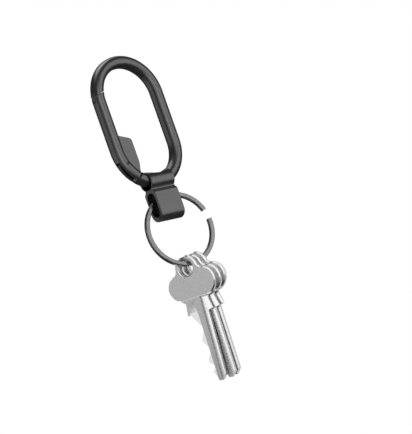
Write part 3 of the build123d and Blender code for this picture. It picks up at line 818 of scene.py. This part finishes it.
# %% [markdown]
# ## The hinge pin
# The gate turns on a pressed pin whose ends show as small discs in the gate's sides. A riveting
# tool leaves a ring round each end and a slightly domed middle. The profile of half a pin is
# drawn along its axis and spun once round.

# %% Hinge pin
PIN_RADIUS = 0.75
PIN_HALF = 2.96
PIN_STEPS = 48
pin_profile = [(0.18, PIN_HALF - 0.01), (0.26, PIN_HALF - 0.05), (0.28, PIN_HALF - 1.60),
               (0.71, PIN_HALF - 1.60), (0.72, PIN_HALF - 0.12), (PIN_RADIUS, PIN_HALF - 0.14),
               (PIN_RADIUS, 0.0)]
here = Vector((0, PIN_HALF, 0))
pin = one_vertex("hinge_pin", here)
for radius, reach in pin_profile:
    step = Vector((radius, reach, 0)) - here
    bpy.ops.mesh.extrude_vertices_move(TRANSFORM_OT_translate={"value": step})
    here += step
bpy.ops.mesh.select_all(action="SELECT")
bpy.ops.mesh.spin(steps=PIN_STEPS, angle=2 * pi, center=(0, 0, 0), axis=(0, 1, 0))
bpy.ops.mesh.select_all(action="SELECT")
bpy.ops.mesh.remove_doubles(threshold=SAME_PLACE)
done()
modifier = pin.modifiers.new("other end", "MIRROR")
modifier.use_axis = (False, True, False)
modifier.merge_threshold = SAME_PLACE
bpy.ops.object.modifier_apply(modifier=modifier.name)
edit(pin)
bpy.ops.mesh.select_all(action="SELECT")
bpy.ops.mesh.remove_doubles(threshold=SAME_PLACE)
face_outward(pin)
bpy.ops.transform.resize(value=(MM, MM, MM), center_override=(0, 0, 0))
bpy.ops.transform.translate(value=Vector(joints["gate_hinge"]["pos_m"]))
done()
bpy.ops.object.shade_smooth_by_angle(angle=radians(30))
pin.data.materials.append(pin_steel)
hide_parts("gate_hinge_pin")
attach(pin, "gate")
print("pin has", len(pin.data.polygons), "faces")

# %% [markdown]
# ## The floor
# The clip hangs, so the floor is a plain pale sheet well below it. It is left out of reflections,
# or its edge would show in the metal.

# %% Floor
FLOOR_HEIGHT = -0.90
bpy.ops.object.select_all(action="DESELECT")
bpy.ops.mesh.primitive_plane_add(size=12.0, location=(0, 0, FLOOR_HEIGHT))
floor = bpy.context.object
floor.name = "floor"
floor.visible_glossy = False
paint = bpy.data.materials.new("pale floor")
paint.use_nodes = True
paint.node_tree.nodes["Principled BSDF"].inputs["Base Color"].default_value = (*grey(0.85), 1.0)
paint.node_tree.nodes["Principled BSDF"].inputs["Roughness"].default_value = 0.9
floor.data.materials.append(paint)
print("floor at", FLOOR_HEIGHT)

# %% [markdown]
# ## Soft boxes
# Metal shows what stands around it, so the lights matter more than the colours. A soft box is a
# rectangular light that faces the object, and its power is chosen by how bright a mirror would
# show it. Bright plated keys and a dark satin clip need different boxes. A photographer would
# shade one from the lights of the other with black cards. Here light linking does the same: a
# light reaches only its own group of pieces.

# %% Soft box
def lit_group(name, pieces):
    """The pieces that a light shines on."""
    group = bpy.data.collections.new(name)
    for piece in pieces:
        group.objects.link(piece)
    return group


def soft_box(name, group, direction, distance, width, height, brightness):
    """A light in a direction from the object, in metres, that a mirror shows at that brightness."""
    data = bpy.data.lights.new(name, "AREA")
    data.shape = "RECTANGLE"
    data.size = width
    data.size_y = height
    data.energy = brightness * pi * width * height
    lamp = bpy.data.objects.new(name, data)
    bpy.context.scene.collection.objects.link(lamp)
    away = Vector(direction).normalized()
    lamp.location = AIM + away * distance
    lamp.rotation_mode = "QUATERNION"
    lamp.rotation_quaternion = away.to_track_quat("Z", "Y")
    lamp.visible_camera = False
    lamp.light_linking.receiver_collection = group
    print(name, "at", tuple(round(v, 2) for v in lamp.location))


meshes = [piece for piece in bpy.context.scene.objects if piece.type == "MESH"]
key_pieces = lit_group("keys", [piece for piece in meshes if "house_key" in piece.name])
clip_pieces = lit_group("clip and ring", [piece for piece in meshes if "house_key" not in piece.name
                                          and piece is not floor])
floor_piece = lit_group("floor alone", [floor])

# %% [markdown]
# ## Lights on the clip and the ring
# The large dim boxes to the front and the left give the rod's flats their even grey. The narrow
# brighter strip draws the highlight along its rounded edge, and the two above draw the one over
# its top arc.

# %% Clip lights
for setup in (               # name, direction, distance, width, height, brightness
        ("clip front", (0.56, -0.82, 0.02), 1.0, 0.75, 1.1, 0.62),
        ("clip front strip", (-0.25, -0.96, 0.08), 1.0, 0.50, 1.0, 0.95),
        ("clip camera side", (-0.70, -0.70, -0.10), 1.0, 0.50, 0.9, 0.30),
        ("clip left", (-0.90, 0.42, -0.02), 1.0, 1.10, 1.0, 0.27),
        ("clip top", (0.05, 0.10, 0.99), 0.9, 0.65, 0.50, 1.4),
        ("clip far top", (0.42, 0.42, 0.80), 1.0, 0.90, 0.70, 0.30)):
    soft_box(setup[0], clip_pieces, *setup[1:])

# %% [markdown]
# ## Lights on the keys
# A tent of large dim panels stands round the keys, so that no face of theirs mirrors darkness. In
# it hang brighter boxes, each where one kind of surface mirrors it towards the camera: a small
# dim one for the flat faces, a bright one for the sloping lands, a row of white ones from the
# right over the top to the left for the bevelled rims, and dim ones behind for the walls.

# %% Key lights
for side in ((1, 0, 0), (0, 1, 0), (0, -1, 0), (0, 0, 1), (-1, 0, 0)):
    soft_box("key tent", key_pieces, side, 1.3, 2.4, 2.4, 0.30)
for setup in (
        ("key face", (-0.97, 0.24, 0.22), 1.0, 0.36, 0.44, 0.24),
        ("key lands", (-0.94, -0.29, 0.20), 1.0, 0.56, 0.6, 1.15),
        ("key right rims", (0.0, -0.99, 0.15), 1.0, 0.90, 0.8, 0.9),
        ("key upper rims", (-0.05, 0.12, 0.99), 0.9, 0.95, 0.95, 0.9),
        ("key corner rims", (-0.12, -0.70, 0.70), 1.0, 0.85, 0.62, 0.9),
        ("key left rims", (0.07, 0.97, 0.25), 0.8, 0.60, 0.75, 0.66),
        ("key left corner rims", (0.02, 0.72, 0.69), 0.95, 0.75, 0.45, 0.8),
        ("key lower rims", (-0.06, 0.93, -0.36), 0.5, 0.42, 0.34, 0.9),
        ("key bottom rims", (-0.29, 0.42, -0.86), 0.35, 0.30, 0.30, 1.0),
        ("key walls", (0.95, -0.20, 0.20), 0.9, 0.80, 0.8, 0.40),
        ("key back walls", (0.73, 0.57, 0.37), 0.9, 0.75, 0.75, 0.40),
        ("key low walls", (0.86, 0.10, -0.49), 0.5, 0.50, 0.40, 0.35)):
    soft_box(setup[0], key_pieces, *setup[1:])

# %% [markdown]
# ## Light on the floor, and the room
# A wide soft sun lights the floor alone, to a pale grey that is close to the white behind it. The
# room is white where the camera sees it and nearly dark everywhere else, so that the metal
# mirrors the boxes and not the room.

# %% Floor light and room
sun = bpy.data.lights.new("floor light", "SUN")
sun.energy = 3.3
sun.angle = radians(80)
overhead = bpy.data.objects.new("floor light", sun)
bpy.context.scene.collection.objects.link(overhead)
overhead.light_linking.receiver_collection = floor_piece

WHITE = (1, 1, 1, 1)
room = bpy.data.worlds.new("studio")
bpy.context.scene.world = room
room.use_nodes = True
tree = room.node_tree
seen = tree.nodes["Background"]
seen.inputs["Color"].default_value = WHITE
seen.inputs["Strength"].default_value = 1.0
around = add_node(tree, "ShaderNodeBackground")
around.inputs["Color"].default_value = WHITE
around.inputs["Strength"].default_value = 0.05
path = add_node(tree, "ShaderNodeLightPath")
choice = add_node(tree, "ShaderNodeMixShader")
join(tree,
     (path.outputs["Is Camera Ray"], choice.inputs["Fac"]), (around.outputs[0], choice.inputs[1]),
     (seen.outputs[0], choice.inputs[2]), (choice.outputs[0], tree.nodes["World Output"].inputs["Surface"]))
bpy.context.scene.view_settings.view_transform = "Standard"
print("the room gives", round(around.inputs["Strength"].default_value, 2), "of the light")
